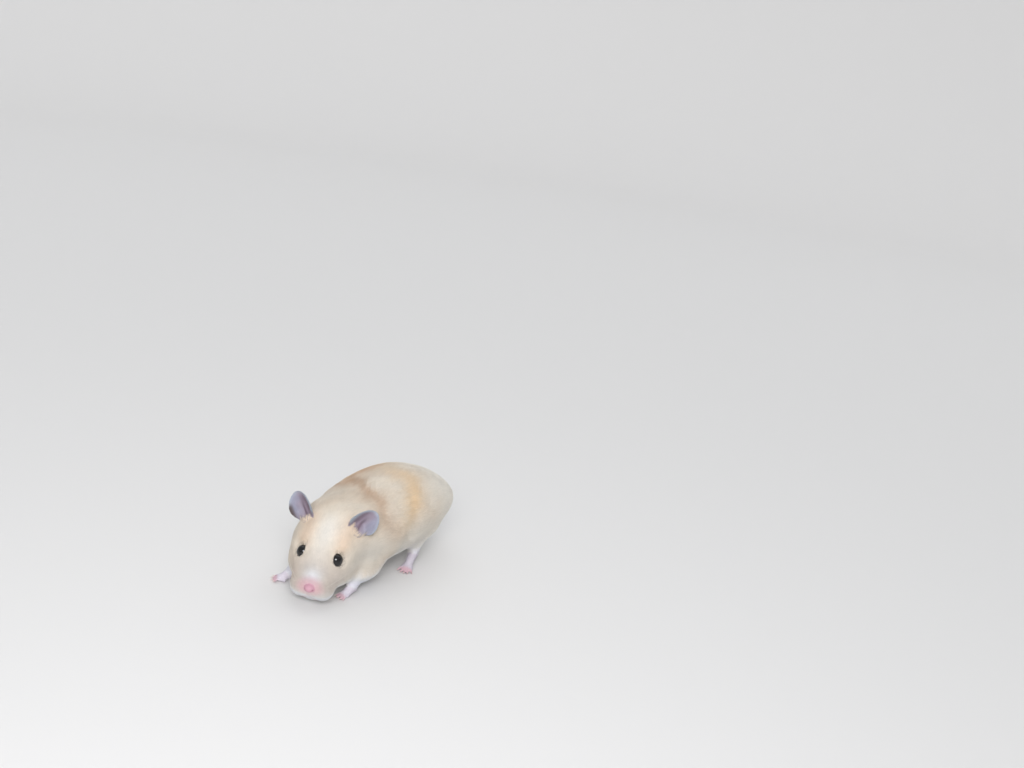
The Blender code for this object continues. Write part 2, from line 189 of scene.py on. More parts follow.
def blended(a, b, share):
    """a where the share is 0 and b where it is 1, row by row."""
    return a + (b - a) * share[:, None]


def layered(colour, *layers):
    """Colours with paints laid over them in turn, each as (paint, share at each point)."""
    for over, share in layers:
        colour = blended(colour, over, share)
    return colour


def ripple(points, scale, seed=0):
    """A smooth wavy value of about -1 to 1 that changes over about scale millimetres."""
    rng = np.random.default_rng(seed)
    total = np.zeros(len(points))
    for _ in range(6):
        way = unit(rng.normal(size=3)) * math.tau / (scale * rng.uniform(0.7, 1.6))
        total += np.sin(points @ way + rng.uniform(0, math.tau))
    return total / 3.4


# ---- meshes


def read(items, name, size=1, kind=np.int32):
    """One property of all the items of a collection, one after another."""
    values = np.empty(len(items) * size, kind)
    items.foreach_get(name, values)
    return values


def arrays(mesh):
    """(points in millimetres, triangles) of a mesh."""
    mesh.calc_loop_triangles()
    points = read(mesh.vertices, "co", 3, np.float32).reshape(-1, 3)
    triangles = read(mesh.loop_triangles, "vertices", 3).reshape(-1, 3)
    return points.astype(float) / MM, triangles


def mesh_of(name, points, triangles):
    mesh = bpy.data.meshes.new(name)
    mesh.vertices.add(len(points))
    mesh.vertices.foreach_set("co", (points * MM).astype(np.float32).ravel())
    mesh.loops.add(len(triangles) * 3)
    mesh.loops.foreach_set("vertex_index", triangles.astype(np.int32).ravel())
    mesh.polygons.add(len(triangles))
    mesh.polygons.foreach_set("loop_start", np.arange(0, len(triangles) * 3, 3, dtype=np.int32))
    mesh.update(calc_edges=True)
    mesh.shade_smooth()
    return mesh


def added(name, data):
    made = bpy.data.objects.new(name, data)
    bpy.context.scene.collection.objects.link(made)
    return made


def baked(obj, name):
    """A new object from obj as its modifiers show it; obj is removed."""
    graph = bpy.context.evaluated_depsgraph_get()
    mesh = bpy.data.meshes.new_from_object(obj.evaluated_get(graph))
    bpy.data.objects.remove(obj)
    return added(name, mesh)


def stacked(parts):
    """One (points, triangles) from several."""
    starts = np.cumsum([0] + [len(points) for points, _ in parts])
    faces = [triangles + start for (_, triangles), start in zip(parts, starts)]
    return np.concatenate([points for points, _ in parts]), np.concatenate(faces)


def reworked(mesh, change):
    """A new mesh from one that a function changes as a bmesh."""
    work = bmesh.new()
    work.from_mesh(mesh)
    change(work)
    made = bpy.data.meshes.new(mesh.name)
    work.to_mesh(made)
    work.free()
    return made


def joined(pieces):
    with bpy.context.temp_override(active_object=pieces[0], selected_editable_objects=pieces):
        bpy.ops.object.join()
    return pieces[0]


def coloured(mesh, colours):
    """Stores the markings, a linear colour for each point."""
    layer = mesh.color_attributes.new("Markings", "FLOAT_COLOR", "POINT")
    rgba = np.ones((len(mesh.vertices), 4), np.float32)
    rgba[:, :3] = colours
    layer.data.foreach_set("color", rgba.ravel())


class Neighbours:
    """Which points of a closed mesh of triangles share an edge."""

    def __init__(self, triangles):
        ends = np.concatenate([triangles[:, [0, 1]], triangles[:, [1, 2]], triangles[:, [2, 0]]])
        ends = ends[np.argsort(ends[:, 0], kind="stable")]
        self.others = ends[:, 1]
        self.starts = np.searchsorted(ends[:, 0], np.arange(ends[-1, 0] + 1))
        self.degree = np.diff(np.append(self.starts, len(ends)))

    def mean(self, values):
        """For each point, the mean of its neighbours' values."""
        total = np.add.reduceat(values[self.others], self.starts)
        return total / (self.degree if values.ndim == 1 else self.degree[:, None])

    def softened(self, values, rounds, weights=1.0):
        """Values drawn towards their neighbours' so many times, by the weights."""
        weights = np.asarray(weights)
        if values.ndim == 2 and weights.ndim == 1:
            weights = weights[:, None]
        for _ in range(rounds):
            values = values + 0.6 * weights * (self.mean(values) - values)
        return values


def normals_of(points, triangles):
    a, b, c = (points[triangles[:, i]] for i in range(3))
    crossed = np.cross(b - a, c - a)
    total = np.zeros_like(points)
    for corner in range(3):
        for axis in range(3):
            total[:, axis] += np.bincount(triangles[:, corner], crossed[:, axis], len(points))
    return unit(total)


# ---- the skin

FLESH = ("head", "nose", "neck", "chest", "trunk", "rump", "tail") + tuple(
    f"{part}_{side}" for part in ("foreleg", "forepaw", "hindleg", "hindfoot") for side in SIDES
)
REGIONS = ("ear", "paw", "leg", "tail")
REGION_OF = {
    "forepaw": "paw", "hindfoot": "paw", "foreleg": "leg", "hindleg": "leg", "tail": "tail",
}


def welded(node):
    """A copy of a CAD node's mesh with its split edges joined again."""

    def weld(work):
        bmesh.ops.remove_doubles(work, verts=work.verts, dist=0.001 * MM)

    return reworked(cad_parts[node].data, weld)


def closed_rings(rings, columns):
    """Triangles over rings of points, and to the two end points that follow the last ring."""
    a = np.arange(rings * columns).reshape(rings, columns)
    b = np.roll(a, -1, 1)
    end = np.full(columns, rings * columns)
    walls = (a[:-1], a[1:], b[1:]), (a[:-1], b[1:], b[:-1])
    caps = (end, a[0], b[0]), (end + 1, b[-1], a[-1])
    both = [np.stack([np.stack(t, -1) for t in kind], -2).reshape(-1, 3) for kind in (walls, caps)]
    return np.concatenate(both)


def egg(centre, radii, axes, rows=14, columns=20):
    """(points, triangles) of an ellipsoid with the given axes."""
    tilt = np.linspace(0, math.pi, rows + 1)[1:-1, None]
    turn = np.arange(columns) * math.tau / columns
    across = np.sin(tilt)
    ring = np.stack([across * np.cos(turn), across * np.sin(turn), np.cos(tilt) + 0 * turn], -1)
    points = np.concatenate([ring.reshape(-1, 3), ((0, 0, 1), (0, 0, -1))])
    return points * radii @ axes + centre, closed_rings(rows - 1, columns)


def rod(path, radii, sides):
    """(points, triangles) of a closed round rod along a path."""
    along = unit(np.gradient(path, axis=0))
    first = unit(np.cross(along, (0.13, 0.21, 0.97)))
    second = np.cross(along, first)
    turn = np.arange(sides)[:, None] * math.tau / sides
    ring = first[:, None] * np.cos(turn) + second[:, None] * np.sin(turn)
    points = (path[:, None] + ring * radii[:, None, None]).reshape(-1, 3)
    ends = path[:1] - along[:1] * radii[0] * 0.3, path[-1:] + along[-1:] * radii[-1]
    return np.concatenate([points, *ends]), closed_rings(len(path), sides)[:, ::-1]


def paw_frame(node):
    """(middle over the floor, axes as rows: to its left, back, up) of a paw."""
    (x, y, _), heading = PAWS[node]
    cos, sin = math.cos(math.radians(heading)), math.sin(math.radians(heading))
    return np.array((x, y, -FLOOR_CUT)), np.array(((cos, sin, 0), (-sin, cos, 0), (0, 0, 1)))


def toes_of(node):
    """The toes' middle lines, from root to tip."""
    fore = node.startswith("fore")
    (fan, spread, radius), root_y = (FORE_TOES, -4.0) if fore else (HIND_TOES, -9.6)
    origin, axes = paw_frame(node)
    lines = []
    for angle, long in fan:
        turn = math.radians(angle)
        root = np.array((spread * math.sin(turn), root_y - spread * (1 - math.cos(turn)), 1.75))
        way = np.array((math.sin(turn * 0.75), -math.cos(turn * 0.75), 0))
        heights = np.array((1.75, 2.15, 1.75, 1.15, radius + FLOOR_CUT + 0.05))
        line = root + way * (long * np.array((0, 0.35, 0.62, 0.82, 0.97)))[:, None]
        line[:, 2] = heights
        lines.append(line @ axes + origin)
    return lines


TOES = {node: toes_of(node) for node in PAWS}


def paw_flesh(node):
    """Wrist, palm, thumb and toes of a paw, as closed pieces."""
    z = PAWS[node][0][2]
    origin, axes = paw_frame(node)
    side = SIDES[node.split("_")[1]]
    if node.startswith("fore"):
        path = (0, 2.4, z + 2.6), (0, 0.6, z), (0, -1.4, z - 0.9), (0, -3.4, 2.2)
        radii, thick = (3.0, 2.75, 2.4, 1.95), FORE_TOES[2]
        thumb = (-side * 2.2, -2.6, 1.5), (0.9, 1.1, 1.0)
        eggs = ((0, -4.0, 1.95), (2.75, 2.7, 1.6)), thumb
    else:
        path = (0, 2.4, z + 3.2), (0, 0.8, z), (0, -4.5, z - 2.2), (0, -9.0, 2.5)
        radii, thick = (3.2, 2.85, 2.4, 2.1), HIND_TOES[2]
        eggs = (((0, -9.6, 2.15), (3.2, 3.2, 1.8)),)
    pieces = [rod(path @ axes + origin, np.array(radii), 16)]
    pieces += [egg(place @ axes + origin, size, axes) for place, size in eggs]
    t = np.linspace(0, 1, 13)
    swells = np.interp(t, (0, 0.35, 0.6, 0.78, 0.9, 1), (1.05, 1.0, 0.8, 0.86, 0.98, 0.62))
    for line in TOES[node]:
        path = np.stack([np.interp(t, np.linspace(0, 1, 5), line[:, k]) for k in range(3)], -1)
        pieces.append(rod(path, thick * swells, 12))
    return pieces


def ear_place(side):
    """(root, axes as rows: across, back, up along the ear) of an ear in the model's frame."""
    mirror = SIDES[side], 1, 1
    rises, faces = unit(np.multiply(EAR_RISES, mirror)), unit(np.multiply(EAR_FACES, mirror))
    back = -unit(faces - faces.dot(rises) * rises)
    root = from_head(np.multiply(EAR_ROOT, mirror))
    return root, np.array((np.cross(back, rises), back, rises)) @ HEAD_AXES


EARS = {side: ear_place(side) for side in SIDES}


def from_bowls(points):
    """How far each point is from the middle of the nearer ear's bowl."""
    return np.min([length(points - root - EAR_BOWL @ axes) for root, axes in EARS.values()], 0)


def ear_leaf(across, along, side):
    """Points of the ear's middle sheet, in its own frame, from the places on a disc."""
    up = (along + 1) / 2
    wide = across * (0.72 + 0.28 * np.sin(math.pi * np.minimum(1.0, up * 1.5) / 2))
    inner_side = step(0.0, 0.6, -SIDES[side] * across)
    wide = wide * (1 + EAR_FLARE * inner_side * bump(0.38, 0.30, up))
    forward = EAR_CUP * (wide**2 - 0.25) * (1.15 - 0.55 * up) - 1.6 * up**2
    outer = SIDES[side] * wide
    for height, place, width, lean, rises, ends in EAR_FOLDS:
        ridge = bump(place, width, outer - lean * up)
        forward += height * ridge * step(*rises, up) * fall(*ends, up)
    edge = step(0.80, 1.0, np.sqrt(across**2 + along**2))
    forward += 0.5 * edge * step(0.2, 0.7, up)
    return np.stack([EAR_WIDTH / 2 * wide, -forward, EAR_LENGTH * up], axis=-1)


def ear_shell(side, count=45):
    """One thin cupped ear with a rolled rim and inner folds; its root is inside the head."""
    x, y = np.meshgrid(np.linspace(-1, 1, count), np.linspace(-1, 1, count), indexing="ij")
    across, along = x * np.sqrt(1 - y * y / 2), y * np.sqrt(1 - x * x / 2)
    sheet = ear_leaf(across, along, side)
    normal = unit(np.cross(np.gradient(sheet, axis=0), np.gradient(sheet, axis=1)))
    inner = 1 - np.maximum(abs(x), abs(y)) ** 8
    root_thick = 1.5 - 0.5 * step(0.0, 0.4, (along + 1) / 2)
    half = ((EAR_THICKNESS / 2) * (0.35 + 0.65 * inner) * root_thick)[..., None]
    index = np.arange(count * count).reshape(count, count)
    a, b, c, d = index[:-1, :-1], index[1:, :-1], index[1:, 1:], index[:-1, 1:]
    faces = np.concatenate([np.stack(t, -1).reshape(-1, 3) for t in ((a, b, c), (a, c, d))])
    rim = np.concatenate([index[:, 0], index[-1, 1:], index[-2::-1, -1], index[0, -2::-1]])
    after = np.roll(rim, -1)
    total = count * count
    walls = (rim, rim + total, after), (after, rim + total, after + total)
    walls = np.concatenate([np.stack(t, -1) for t in walls])
    root, axes = EARS[side]
    points = np.concatenate([sheet + normal * half, sheet - normal * half]).reshape(-1, 3)
    return points @ axes + root, np.concatenate([faces, faces[:, ::-1] + total, walls])


def fused_flesh():
    """One closed body over all the flesh, the ears and the eyes, with the thin cuts closed."""
    pieces = []
    for node in [node for node in FLESH if node not in PAWS] + ["eye_left", "eye_right"]:
        piece = added(node + " flesh", welded(node))
        swell = piece.modifiers.new("swell", "DISPLACE")
        swell.strength = SWELL * MM
        swell.mid_level = 0
        pieces.append(baked(piece, node + " flesh"))
    shapes = [ear_shell(side) for side in SIDES]
    shapes += [egg(root + EAR_BASE @ axes, EAR_BASE_SIZE, axes) for root, axes in EARS.values()]
    for node in PAWS:
        shapes += paw_flesh(node)

    def face_out(work):
        bmesh.ops.recalc_face_normals(work, faces=work.faces)

    for shape in shapes:
        pieces.append(added("shape", reworked(mesh_of("shape", *shape), face_out)))
    body = joined(pieces)
    remesh = body.modifiers.new("one skin", "REMESH")
    remesh.mode = "VOXEL"
    remesh.voxel_size = SKIN_VOXEL * MM
    return baked(body, "skin")


def region_weights(points, near):
    """For each kind of region, how much each point belongs to it, soft at the borders."""
    pieces = [(REGION_OF.get(node.split("_")[0], "body"), arrays(welded(node))) for node in FLESH]
    pieces += [("ear", ear_shell(side)) for side in SIDES]
    corners, faces = stacked([shape for _, shape in pieces])
    owner = np.repeat([kind for kind, _ in pieces], [len(shape[1]) for _, shape in pieces])
    tree = BVHTree.FromPolygons(corners.tolist(), faces.tolist())
    nearest = owner[[tree.find_nearest(p)[2] for p in points.tolist()]]
    weights = {region: near.softened((nearest == region).astype(float), 10) for region in REGIONS}
    weights["ear"] = np.maximum(weights["ear"], fall(3.0, 4.6, from_bowls(points)))
    return weights


def coat_sizes(points, weights):
    """(depth, length, half width) of the coat at each point, in millimetres."""
    grown = step(*COAT_GROWS, length(points - NOSE))[:, None]
    size = COAT_NOSE + (COAT_BODY - COAT_NOSE) * grown ** (1.1, 0.6, 0.8)
    for eye in EYES.values():
        size *= 1 - fall(EYE_RADIUS + 0.4, 9.0, length(points - eye))[:, None] * (0.35, 0.5, 0.35)
    low = fall(6.0, 20.0, points[:, 2]) * weights["leg"]
    for kind, there in ((COAT_LEG, low), (COAT_PAW, weights["paw"]), (COAT_TAIL, weights["tail"])):
        size = blended(size, kind, there)
    size *= 1 - fall(0.5, 2.0, lip_distance(points))[:, None] * (0.3, 0.45, 0.2)
    seat = fall(3.0, 11.0, length(points - TAIL))[:, None]
    size *= 1 - seat * (0.45, 0.6, 0.3) * (1 - weights["tail"])[:, None]
    for joint, _ in PAWS.values():
        near = fall(3.0, 10.0, length(points - joint))[:, None]
        size *= 1 - near * (0.65, 0.62, 0.45) * (1 - weights["paw"])[:, None]
    return blended(size, COAT_EAR, step(0.25, 0.75, weights["ear"]))


def refined(points, triangles, inside):
    """The mesh with each edge whose ends are both inside cut in two; new points come last."""

    def cut(work):
        edges = [e for e in work.edges if all(inside[v.index] for v in e.verts)]
        bmesh.ops.subdivide_edges(work, edges=edges, cuts=1, use_grid_fill=True)
        bmesh.ops.triangulate(work, faces=[f for f in work.faces if len(f.verts) > 3])

    return arrays(reworked(mesh_of("refined", points, triangles), cut))


def from_eye(points, side):
    """(distance in mm, angle from the middle of the eye, angle of the lids' edge there)."""
    looks = turned(EYE_LOOKS, SIDES[side])
    long_way = unit(HEAD_AXES[1] - HEAD_AXES[1].dot(looks) * looks)
    away = points - EYES[side]
    out = unit(away)
    angle = np.degrees(np.arccos(np.clip(out @ looks, -1, 1)))
    corner = abs(unit(out - (out @ looks)[:, None] * looks) @ long_way)
    return length(away), angle, LID_ANGLE + 4.0 * corner**4 - 2.0 * (1 - corner)


def lids(points):
    """The skin opened round each eye, tucked behind it inside the lids, with a soft raised rim."""
    for side, eye in EYES.items():
        looks = turned(EYE_LOOKS, SIDES[side])
        distance, angle, opening = from_eye(points, side)
        near = (distance < EYE_RADIUS + 2.0) & (angle < opening + 60)
        past = angle - opening
        edge = near & (abs(past) < LID_EDGE)
        out = unit(points - eye)
        flat = unit(out - (out @ looks)[:, None] * looks)
        turn = np.radians(opening)[:, None]
        snapped = eye + (looks * np.cos(turn) + flat * np.sin(turn)) * (EYE_RADIUS + 0.02)
        inside = eye + out * (EYE_RADIUS - 0.5)
        rim = 0.10 + 0.24 * bump(7.0, 5.5, past)
        proud = eye + out * np.maximum(distance, EYE_RADIUS + rim)[:, None]
        points = np.where((near & (past <= 0))[:, None], inside, points)
        points = np.where((near & (past > 0))[:, None], proud, points)
        points = np.where(edge[:, None], snapped, points)
    return points


# Soft hollows of the skin: (path, width, depth).
NECK_FOLD = (
    (-16, -11, 41), (-12, -13.8, 44), (0, -18.5, 45.5),
    (11.5, -18.5, 43), (16, -19.5, 39), (19.5, -19.5, 34),
)
HOLLOWS = (
    (NECK_FOLD, 2.4, 1.0),
    (((18, -32, 30), (19.5, -33, 21), (18, -36, 14)), 3.0, 1.0),  # behind the left cheek
    (((-18, -32, 30), (-19.5, -33, 21), (-18, -36, 14)), 3.0, 1.0),
    (((21, -1, 34), (23, -5, 27), (24, -7, 20), (20, -7, 12)), 4.6, 1.5),  # before the left haunch
    (((-21, 6, 34), (-23, 2, 27), (-24, 0, 20), (-19, 2, 12)), 4.6, 1.5),
)


def path_distance(points, path):
    """How far each point is from a path of straight pieces."""
    best = np.full(len(points), FAR)
    for a, b in zip(path[:-1], path[1:]):
        along = b - a
        t = np.clip((points - a) @ along / along.dot(along), 0, 1)
        best = np.minimum(best, length(points - a - t[:, None] * along))
    return best


def line_distance(points, path):
    """How far each point is from a short path in the head's frame; FAR for points well away."""
    track = from_head(path)
    near = length(points - track.mean(0)) < 14
    gap = np.full(len(points), FAR)
    gap[near] = path_distance(points[near], track)
    return gap


def groove(points, normals, path, width, depth):
    """Points pushed in along a path of places in the head's frame."""
    return points - normals * (depth * bump(0, width, line_distance(points, path)))[:, None]


def curve(*stops, count=16):
    """Places along a smooth line through three stops."""
    a, b, c = (np.array(s, float) for s in stops)
    t = np.linspace(0, 1, count)[:, None]
    bend = 2 * b - (a + c) / 2
    return (1 - t) ** 2 * a + 2 * t * (1 - t) * bend + t**2 * c


PHILTRUM = curve((0, -16.6, -7.4), (0, -16.2, -9.2), (0, -15.3, -11.6))
MOUTH = [
    curve((0, -15.3, -11.6), (sign * 3.6, -13.6, -14.0), (sign * 6.8, -8.5, -15.4), count=24)
    for sign in SIDES.values()
]
NOSTRILS = [
    curve((sign * 0.7, -16.2, -7.5), (sign * 1.3, -15.7, -6.8), (sign * 1.75, -14.7, -6.3))
    for sign in SIDES.values()
]


def lines_distance(points, lines):
    return np.min([line_distance(points, line) for line in lines], axis=0)


def lip_distance(points):
    """How far each point is from the split of the lips and the mouth."""
    return lines_distance(points, (PHILTRUM, *MOUTH))


def from_nose_pad(points):
    """1 at the edge of the bare nose, less inside it."""
    return length((points - NOSE) @ HEAD_AXES.T / NOSE_PAD)


def muzzle(points, triangles):
    """Nostrils, the split lip, the mouth and the whisker pads' rows."""
    normals = normals_of(points, triangles)
    x, y, z = in_head(points).T
    points = points + normals * (0.14 * fall(0.7, 1.1, from_nose_pad(points)))[:, None]
    points = points - normals * (0.12 * bump(1.04, 0.16, from_nose_pad(points)))[:, None]
    for nostril, mouth in zip(NOSTRILS, MOUTH):
        points = groove(points, normals, nostril, 0.36, 0.85)
        points = groove(points, normals, mouth, 0.45, 0.8)
    points = groove(points, normals, PHILTRUM, 0.34, 0.6)
    rows = np.sin(z * math.tau / 1.5 + y * 0.7)
    pad = bump(-10.5, 3.0, y) * bump(-9.5, 3.2, z) * step(3.5, 6.5, abs(x))
    return points + normals * (0.05 * rows * pad)[:, None]


def hollows(points):
    """How far the skin is drawn in at the neck's fold, behind the cheeks, before the haunches."""
    deep = np.zeros(len(points))
    for path, width, depth in HOLLOWS:
        deep = deep + depth * bump(0, width, path_distance(points, np.array(path, float)))
    return deep


def thinned(points, triangles, weights):
    """The skin with fewer triangles on the body than on the head, ears and paws."""
    obj = added("skin", mesh_of("skin", points, triangles))
    group = obj.vertex_groups.new(name="plain")
    levels = np.round((1 - weights) * 10).astype(int)
    for level in range(1, 11):
        group.add(np.nonzero(levels == level)[0].tolist(), level / 10, "REPLACE")
    fewer = obj.modifiers.new("fewer", "DECIMATE")
    fewer.ratio = SKIN_TRIANGLES / len(triangles)
    fewer.vertex_group = "plain"
    fewer.vertex_group_factor = 2.0
    obj = baked(obj, "skin")
    obj.vertex_groups.clear()
    return obj


def made_skin():
    """(object, points, triangles, neighbours, region weights) of the finished skin."""
    rough = fused_flesh()
    points, triangles = arrays(rough.data)
    bpy.data.objects.remove(rough)
    near = Neighbours(triangles)
    weights = region_weights(points, near)
    fine = np.clip(weights["ear"] * 0.96 + weights["paw"] * 0.93 + weights["tail"] * 0.8, 0, 1)
    face = fall(15, 34, length(points - NOSE))
    for eye in EYES.values():
        fine = np.maximum(fine, 0.8 * fall(4.5, 7.5, length(points - eye)))
    fine = np.maximum(fine, 0.85 * fall(3.0, 6.0, length(points - NOSE)))
    points = near.softened(points, FUSING_ROUNDS, (1 - fine) * (1 - 0.55 * face))
    sizes = coat_sizes(points, weights)
    swell = SWELL * fall(0.2, 0.6, weights["ear"] + weights["paw"])
    steps = 4
    for _ in range(steps):
        normals = near.softened(normals_of(points, triangles), 4)
        points = points - unit(normals) * ((sizes[:, 0] + swell) / steps)[:, None]
    points = near.softened(points, 12, (1 - fine) * (1 - 0.6 * face))
    deep = hollows(points) * (1 - weights["ear"])
    points = points - normals_of(points, triangles) * deep[:, None]
    points = near.softened(points, 4, 0.5 * (fine > 0.5))
    close = length(points - NOSE) < 4.5
    for eye in EYES.values():
        close |= length(points - eye) < EYE_RADIUS + 3.0
    points, triangles = refined(points, triangles, close | (lip_distance(points) < 1.2))
    near = Neighbours(triangles)
    points = near.softened(points, 3, fall(5, 7, length(points - NOSE)))
    for eye in EYES.values():
        round_eye = fall(EYE_RADIUS + 2.0, EYE_RADIUS + 4.5, length(points - eye))
        points = near.softened(points, 30, round_eye)
    points = lids(points)
    points = muzzle(points, triangles)
    height = points[:, 2]  # the soles are eased onto the floor
    points[:, 2] = np.where(height < 0.5, 0.01 + np.maximum(height, 0) ** 3 * 3.9, height)
    detail = np.ones(len(points))
    detail[: len(fine)] = fine
    detail = np.maximum(detail, 0.9 * fall(18, 34, length(points - NOSE)))
    obj = thinned(points, triangles, detail)
    points, triangles = arrays(obj.data)
    near = Neighbours(triangles)
    return obj, points, triangles, near, region_weights(points, near)


skin, SKIN_POINTS, SKIN_FACES, SKIN_NEAR, SKIN_WEIGHTS = made_skin()
SKIN_NORMALS = normals_of(SKIN_POINTS, SKIN_FACES)
SKIN_TREE = BVHTree.FromPolygons(SKIN_POINTS.tolist(), SKIN_FACES.tolist())
SKIN_SIZES = coat_sizes(SKIN_POINTS, SKIN_WEIGHTS)

# ---- markings


def paint(red, green, blue):
    """A linear colour from the numbers 0 to 255 of a colour picker."""
    value = np.array((red, green, blue)) / 255
    return np.where(value <= 0.04045, value / 12.92, ((value + 0.055) / 1.055) ** 2.4)


CREAM = paint(227, 213, 195)
PALE_CREAM = paint(234, 226, 213)
WHITE = paint(238, 237, 235)
COOL_WHITE = paint(236, 238, 243)
TAN = paint(198, 171, 146)
FOREHEAD = paint(240, 235, 227)
# painted shade for the right side of the back, turned away from the light
FAR_SIDE_SHADE = paint(208, 174, 142)
SNOUT = paint(194, 184, 177)
GOLD = paint(238, 206, 160)
PEACH = paint(233, 203, 174)
ASH = paint(240, 235, 225)
FLANK = paint(215, 210, 201)
BLUSH = paint(210, 164, 170)
NOSE_PINK = paint(207, 158, 172)
# painted shade in the nostrils' openings
NOSTRIL_SHADE = paint(128, 76, 84)
TOE_PINK = paint(208, 170, 180)
PAW_WHITE = paint(231, 234, 243)
EAR_GREY = paint(160, 148, 162)
# the ear's darker skin, and painted shade in its cup and fold
EAR_DARK_AND_SHADE = paint(112, 90, 104)
EAR_OUTER = paint(158, 158, 176)
EAR_RIM = paint(182, 192, 204)
LID = paint(58, 46, 42)
# painted shadow at the outer edge of the right ear
EAR_EDGE_SHADOW = paint(84, 66, 62)
LIP_AND_SPLIT_SHADE = paint(170, 112, 118)


def body_colours(points):
    """The coat's colours on the trunk, rump and legs."""
    x, y, z = points.T
    wave, fine, mottle = ripple(points, 19, 1), ripple(points, 5, 2), ripple(points, 9, 9)
    y = y + 2.4 * wave + 1.1 * fine
    above = step(22, 38, z + 1.5 * fine)
    fold = y + 0.28 * x
    # The tan at the neck's fold: partly the coat's own tan, and partly painted shade, darkest in
    # the narrow line along the fold.
    neck = 0.30 * step(-26, -18, fold) * fall(-16.5, -13.5, fold) + 0.62 * bump(-16.6, 2.3, fold)
    saddle = bump(5.5, 7.5 + 1.5 * fine, y + 0.85 * np.maximum(46 - z, 0)) * step(22, 37, z)
    saddle = saddle * (1 - 0.65 * bump(-1, 10, x)) * (0.58 + 0.18 * wave)
    # Painted shade: an orange-tan band along the right side of the back, the side turned away from
    # the light.
    ridge = bump(-13.5, 6.0, x + 2.5 * fine) * step(-24, -6, y) * fall(12, 30, y) * step(32, 43, z)
    return layered(
        CREAM,
        (PALE_CREAM, 0.6 * above * bump(-9, 7, y)),  # behind the fold of the neck
        (PALE_CREAM, 0.35 * step(30, 40, z) * bump(-31, 7, y)),  # nape
        (PALE_CREAM, 0.5 * np.clip(mottle, 0, 1)),
        (TAN, 0.14 * np.clip(-mottle, 0, 1)),
        (TAN, neck * step(26, 41, z + 3 * wave)),
        (GOLD, saddle * (0.65 + 0.35 * step(-8, 0, x))),
        (FAR_SIDE_SHADE, 0.85 * ridge),
        (ASH, 0.9 * step(3, 27, y + 0.30 * (34 - z))),  # rump
        (FLANK, 0.7 * bump(22, 9, z) * fall(2, 22, y)),
        (TAN, 0.45 * bump(-18, 6, y) * bump(31, 6, z) * step(12, 18, abs(x))),  # painted shade behind the shoulders
        (ASH, 0.6 * bump(4, 8, y) * bump(23, 6, z)),  # painted light: the haunches made paler where they turn from the light
        (WHITE, 0.88 * fall(9, 24, z + 2.4 * wave)),  # belly
    )


def head_colours(points):
    """The coat's colours on the head."""
    local = in_head(points)
    x, y, z = abs(local[:, 0]), local[:, 1], local[:, 2]
    fine = ripple(points, 4, 3)
    blaze = bump(0, 4.2 + 0.5 * fine, x) * step(-13, -6, z) * fall(6, 18, y)
    snout = fall(-9, 4, y) * step(-13, -7, z) * (1 - 0.9 * bump(0, 4.0, x) * fall(-5, 0, z))
    colour = layered(
        CREAM,
        (PALE_CREAM, 0.8 * bump(0, 10, x) * step(-6, 2, z)),
        (FOREHEAD, 0.7 * bump(0, 7, x) * bump(7, 7, y) * step(-2, 3, z)),
        (WHITE, 0.15 * blaze * (1 + 4 * fall(-6, 2, z))),
        (PEACH, 0.48 * bump(8.5, 4.4, x) * bump(5.5, 6.5, y) * step(-1, 4, z)),  # brows
        (PEACH, 0.42 * bump(11, 5, x) * bump(14, 6, y) * step(2, 7, z)),  # before the ears
        (TAN, 0.42 * bump(8.5, 3.6, x) * bump(-7.5, 4.5, y) * bump(-8.5, 5, z)),  # muzzle's sides
        # Painted cool light: a greyer, cooler tone on the lower left side of the head only.
        (FLANK, 0.6 * step(4, 10, local[:, 0]) * bump(-7, 6, z) * fall(16, 24, y)),
        (FLANK, 0.65 * step(8, 13, x) * bump(10, 9, y) * bump(-5, 6, z)),  # cheeks
        (WHITE, 0.92 * fall(-15, -9.5, z + 0.25 * (y - 2) + fine)),  # chin and throat
        (SNOUT, 0.66 * snout),
        (COOL_WHITE, 0.8 * bump(0, 3.5, x) * bump(-3.7, 2.7, z) * fall(-8, 0, y)),  # bridge
        (WHITE, 0.15 * bump(-11, 4, z) * fall(-13, -9.5, y) * fall(4, 9, x)),
    )
    away = (points - NOSE) @ HEAD_AXES.T / (1.25, 1.0, 1.0)
    away[:, 2] = np.where(away[:, 2] < 0, away[:, 2] / 0.62, away[:, 2])
    colour = colour * (1 - 0.10 * fall(6, 12, length(points - NOSE)))[:, None]
    return layered(
        colour,
        (BLUSH, 0.72 * fall(1.8, 6.2, length(away))),
        (COOL_WHITE, 0.65 * fall(-11.0, -8.8, z) * fall(-12, -8, y)),  # lips
    )


def ear_colours(points, side):
    """(colours, which points are near) of the bare skin of an ear."""
    root, axes = EARS[side]
    own = (points - root) @ axes.T
    up, across = own[:, 2] / EAR_LENGTH, own[:, 0] / (EAR_WIDTH / 2)
    outward = SIDES[side] * across
    cloud = ripple(points, 5, 8)
    round_out = np.sqrt(across**2 + (2 * up - 1) ** 2)
    # A painted shadow, dark along the outer edge, laid on the right ear only.
    edge = step(0.55, 0.85, outward) * step(0.12, 0.25, up) * fall(0.6, 0.8, up)
    colour = layered(
        EAR_GREY,
        (EAR_OUTER, 0.85 * step(-0.1, 0.5, outward + 0.12 * cloud) * step(0.15, 0.5, up)),
        # The darker inner half is partly the ear's own skin and partly painted shade in its cup;
        # the line along its middle is painted shade in its fold.
        (EAR_DARK_AND_SHADE, 0.55 * step(0.1, 0.55, -outward + 0.12 * cloud) * step(0.1, 0.3, up)),
        (EAR_DARK_AND_SHADE, 0.85 * bump(-0.12 - 0.25 * (up - 0.35), 0.15, outward) * bump(0.34, 0.24, up)),
        (EAR_RIM, 0.75 * step(0.72, 1.02, round_out + 0.04 * cloud) * step(0.12, 0.4, up)),
        (EAR_EDGE_SHADOW, 0.9 * edge * (side == "right")),
    )
    return colour, length(own - (0, 0, EAR_LENGTH / 2)) < EAR_LENGTH * 0.8


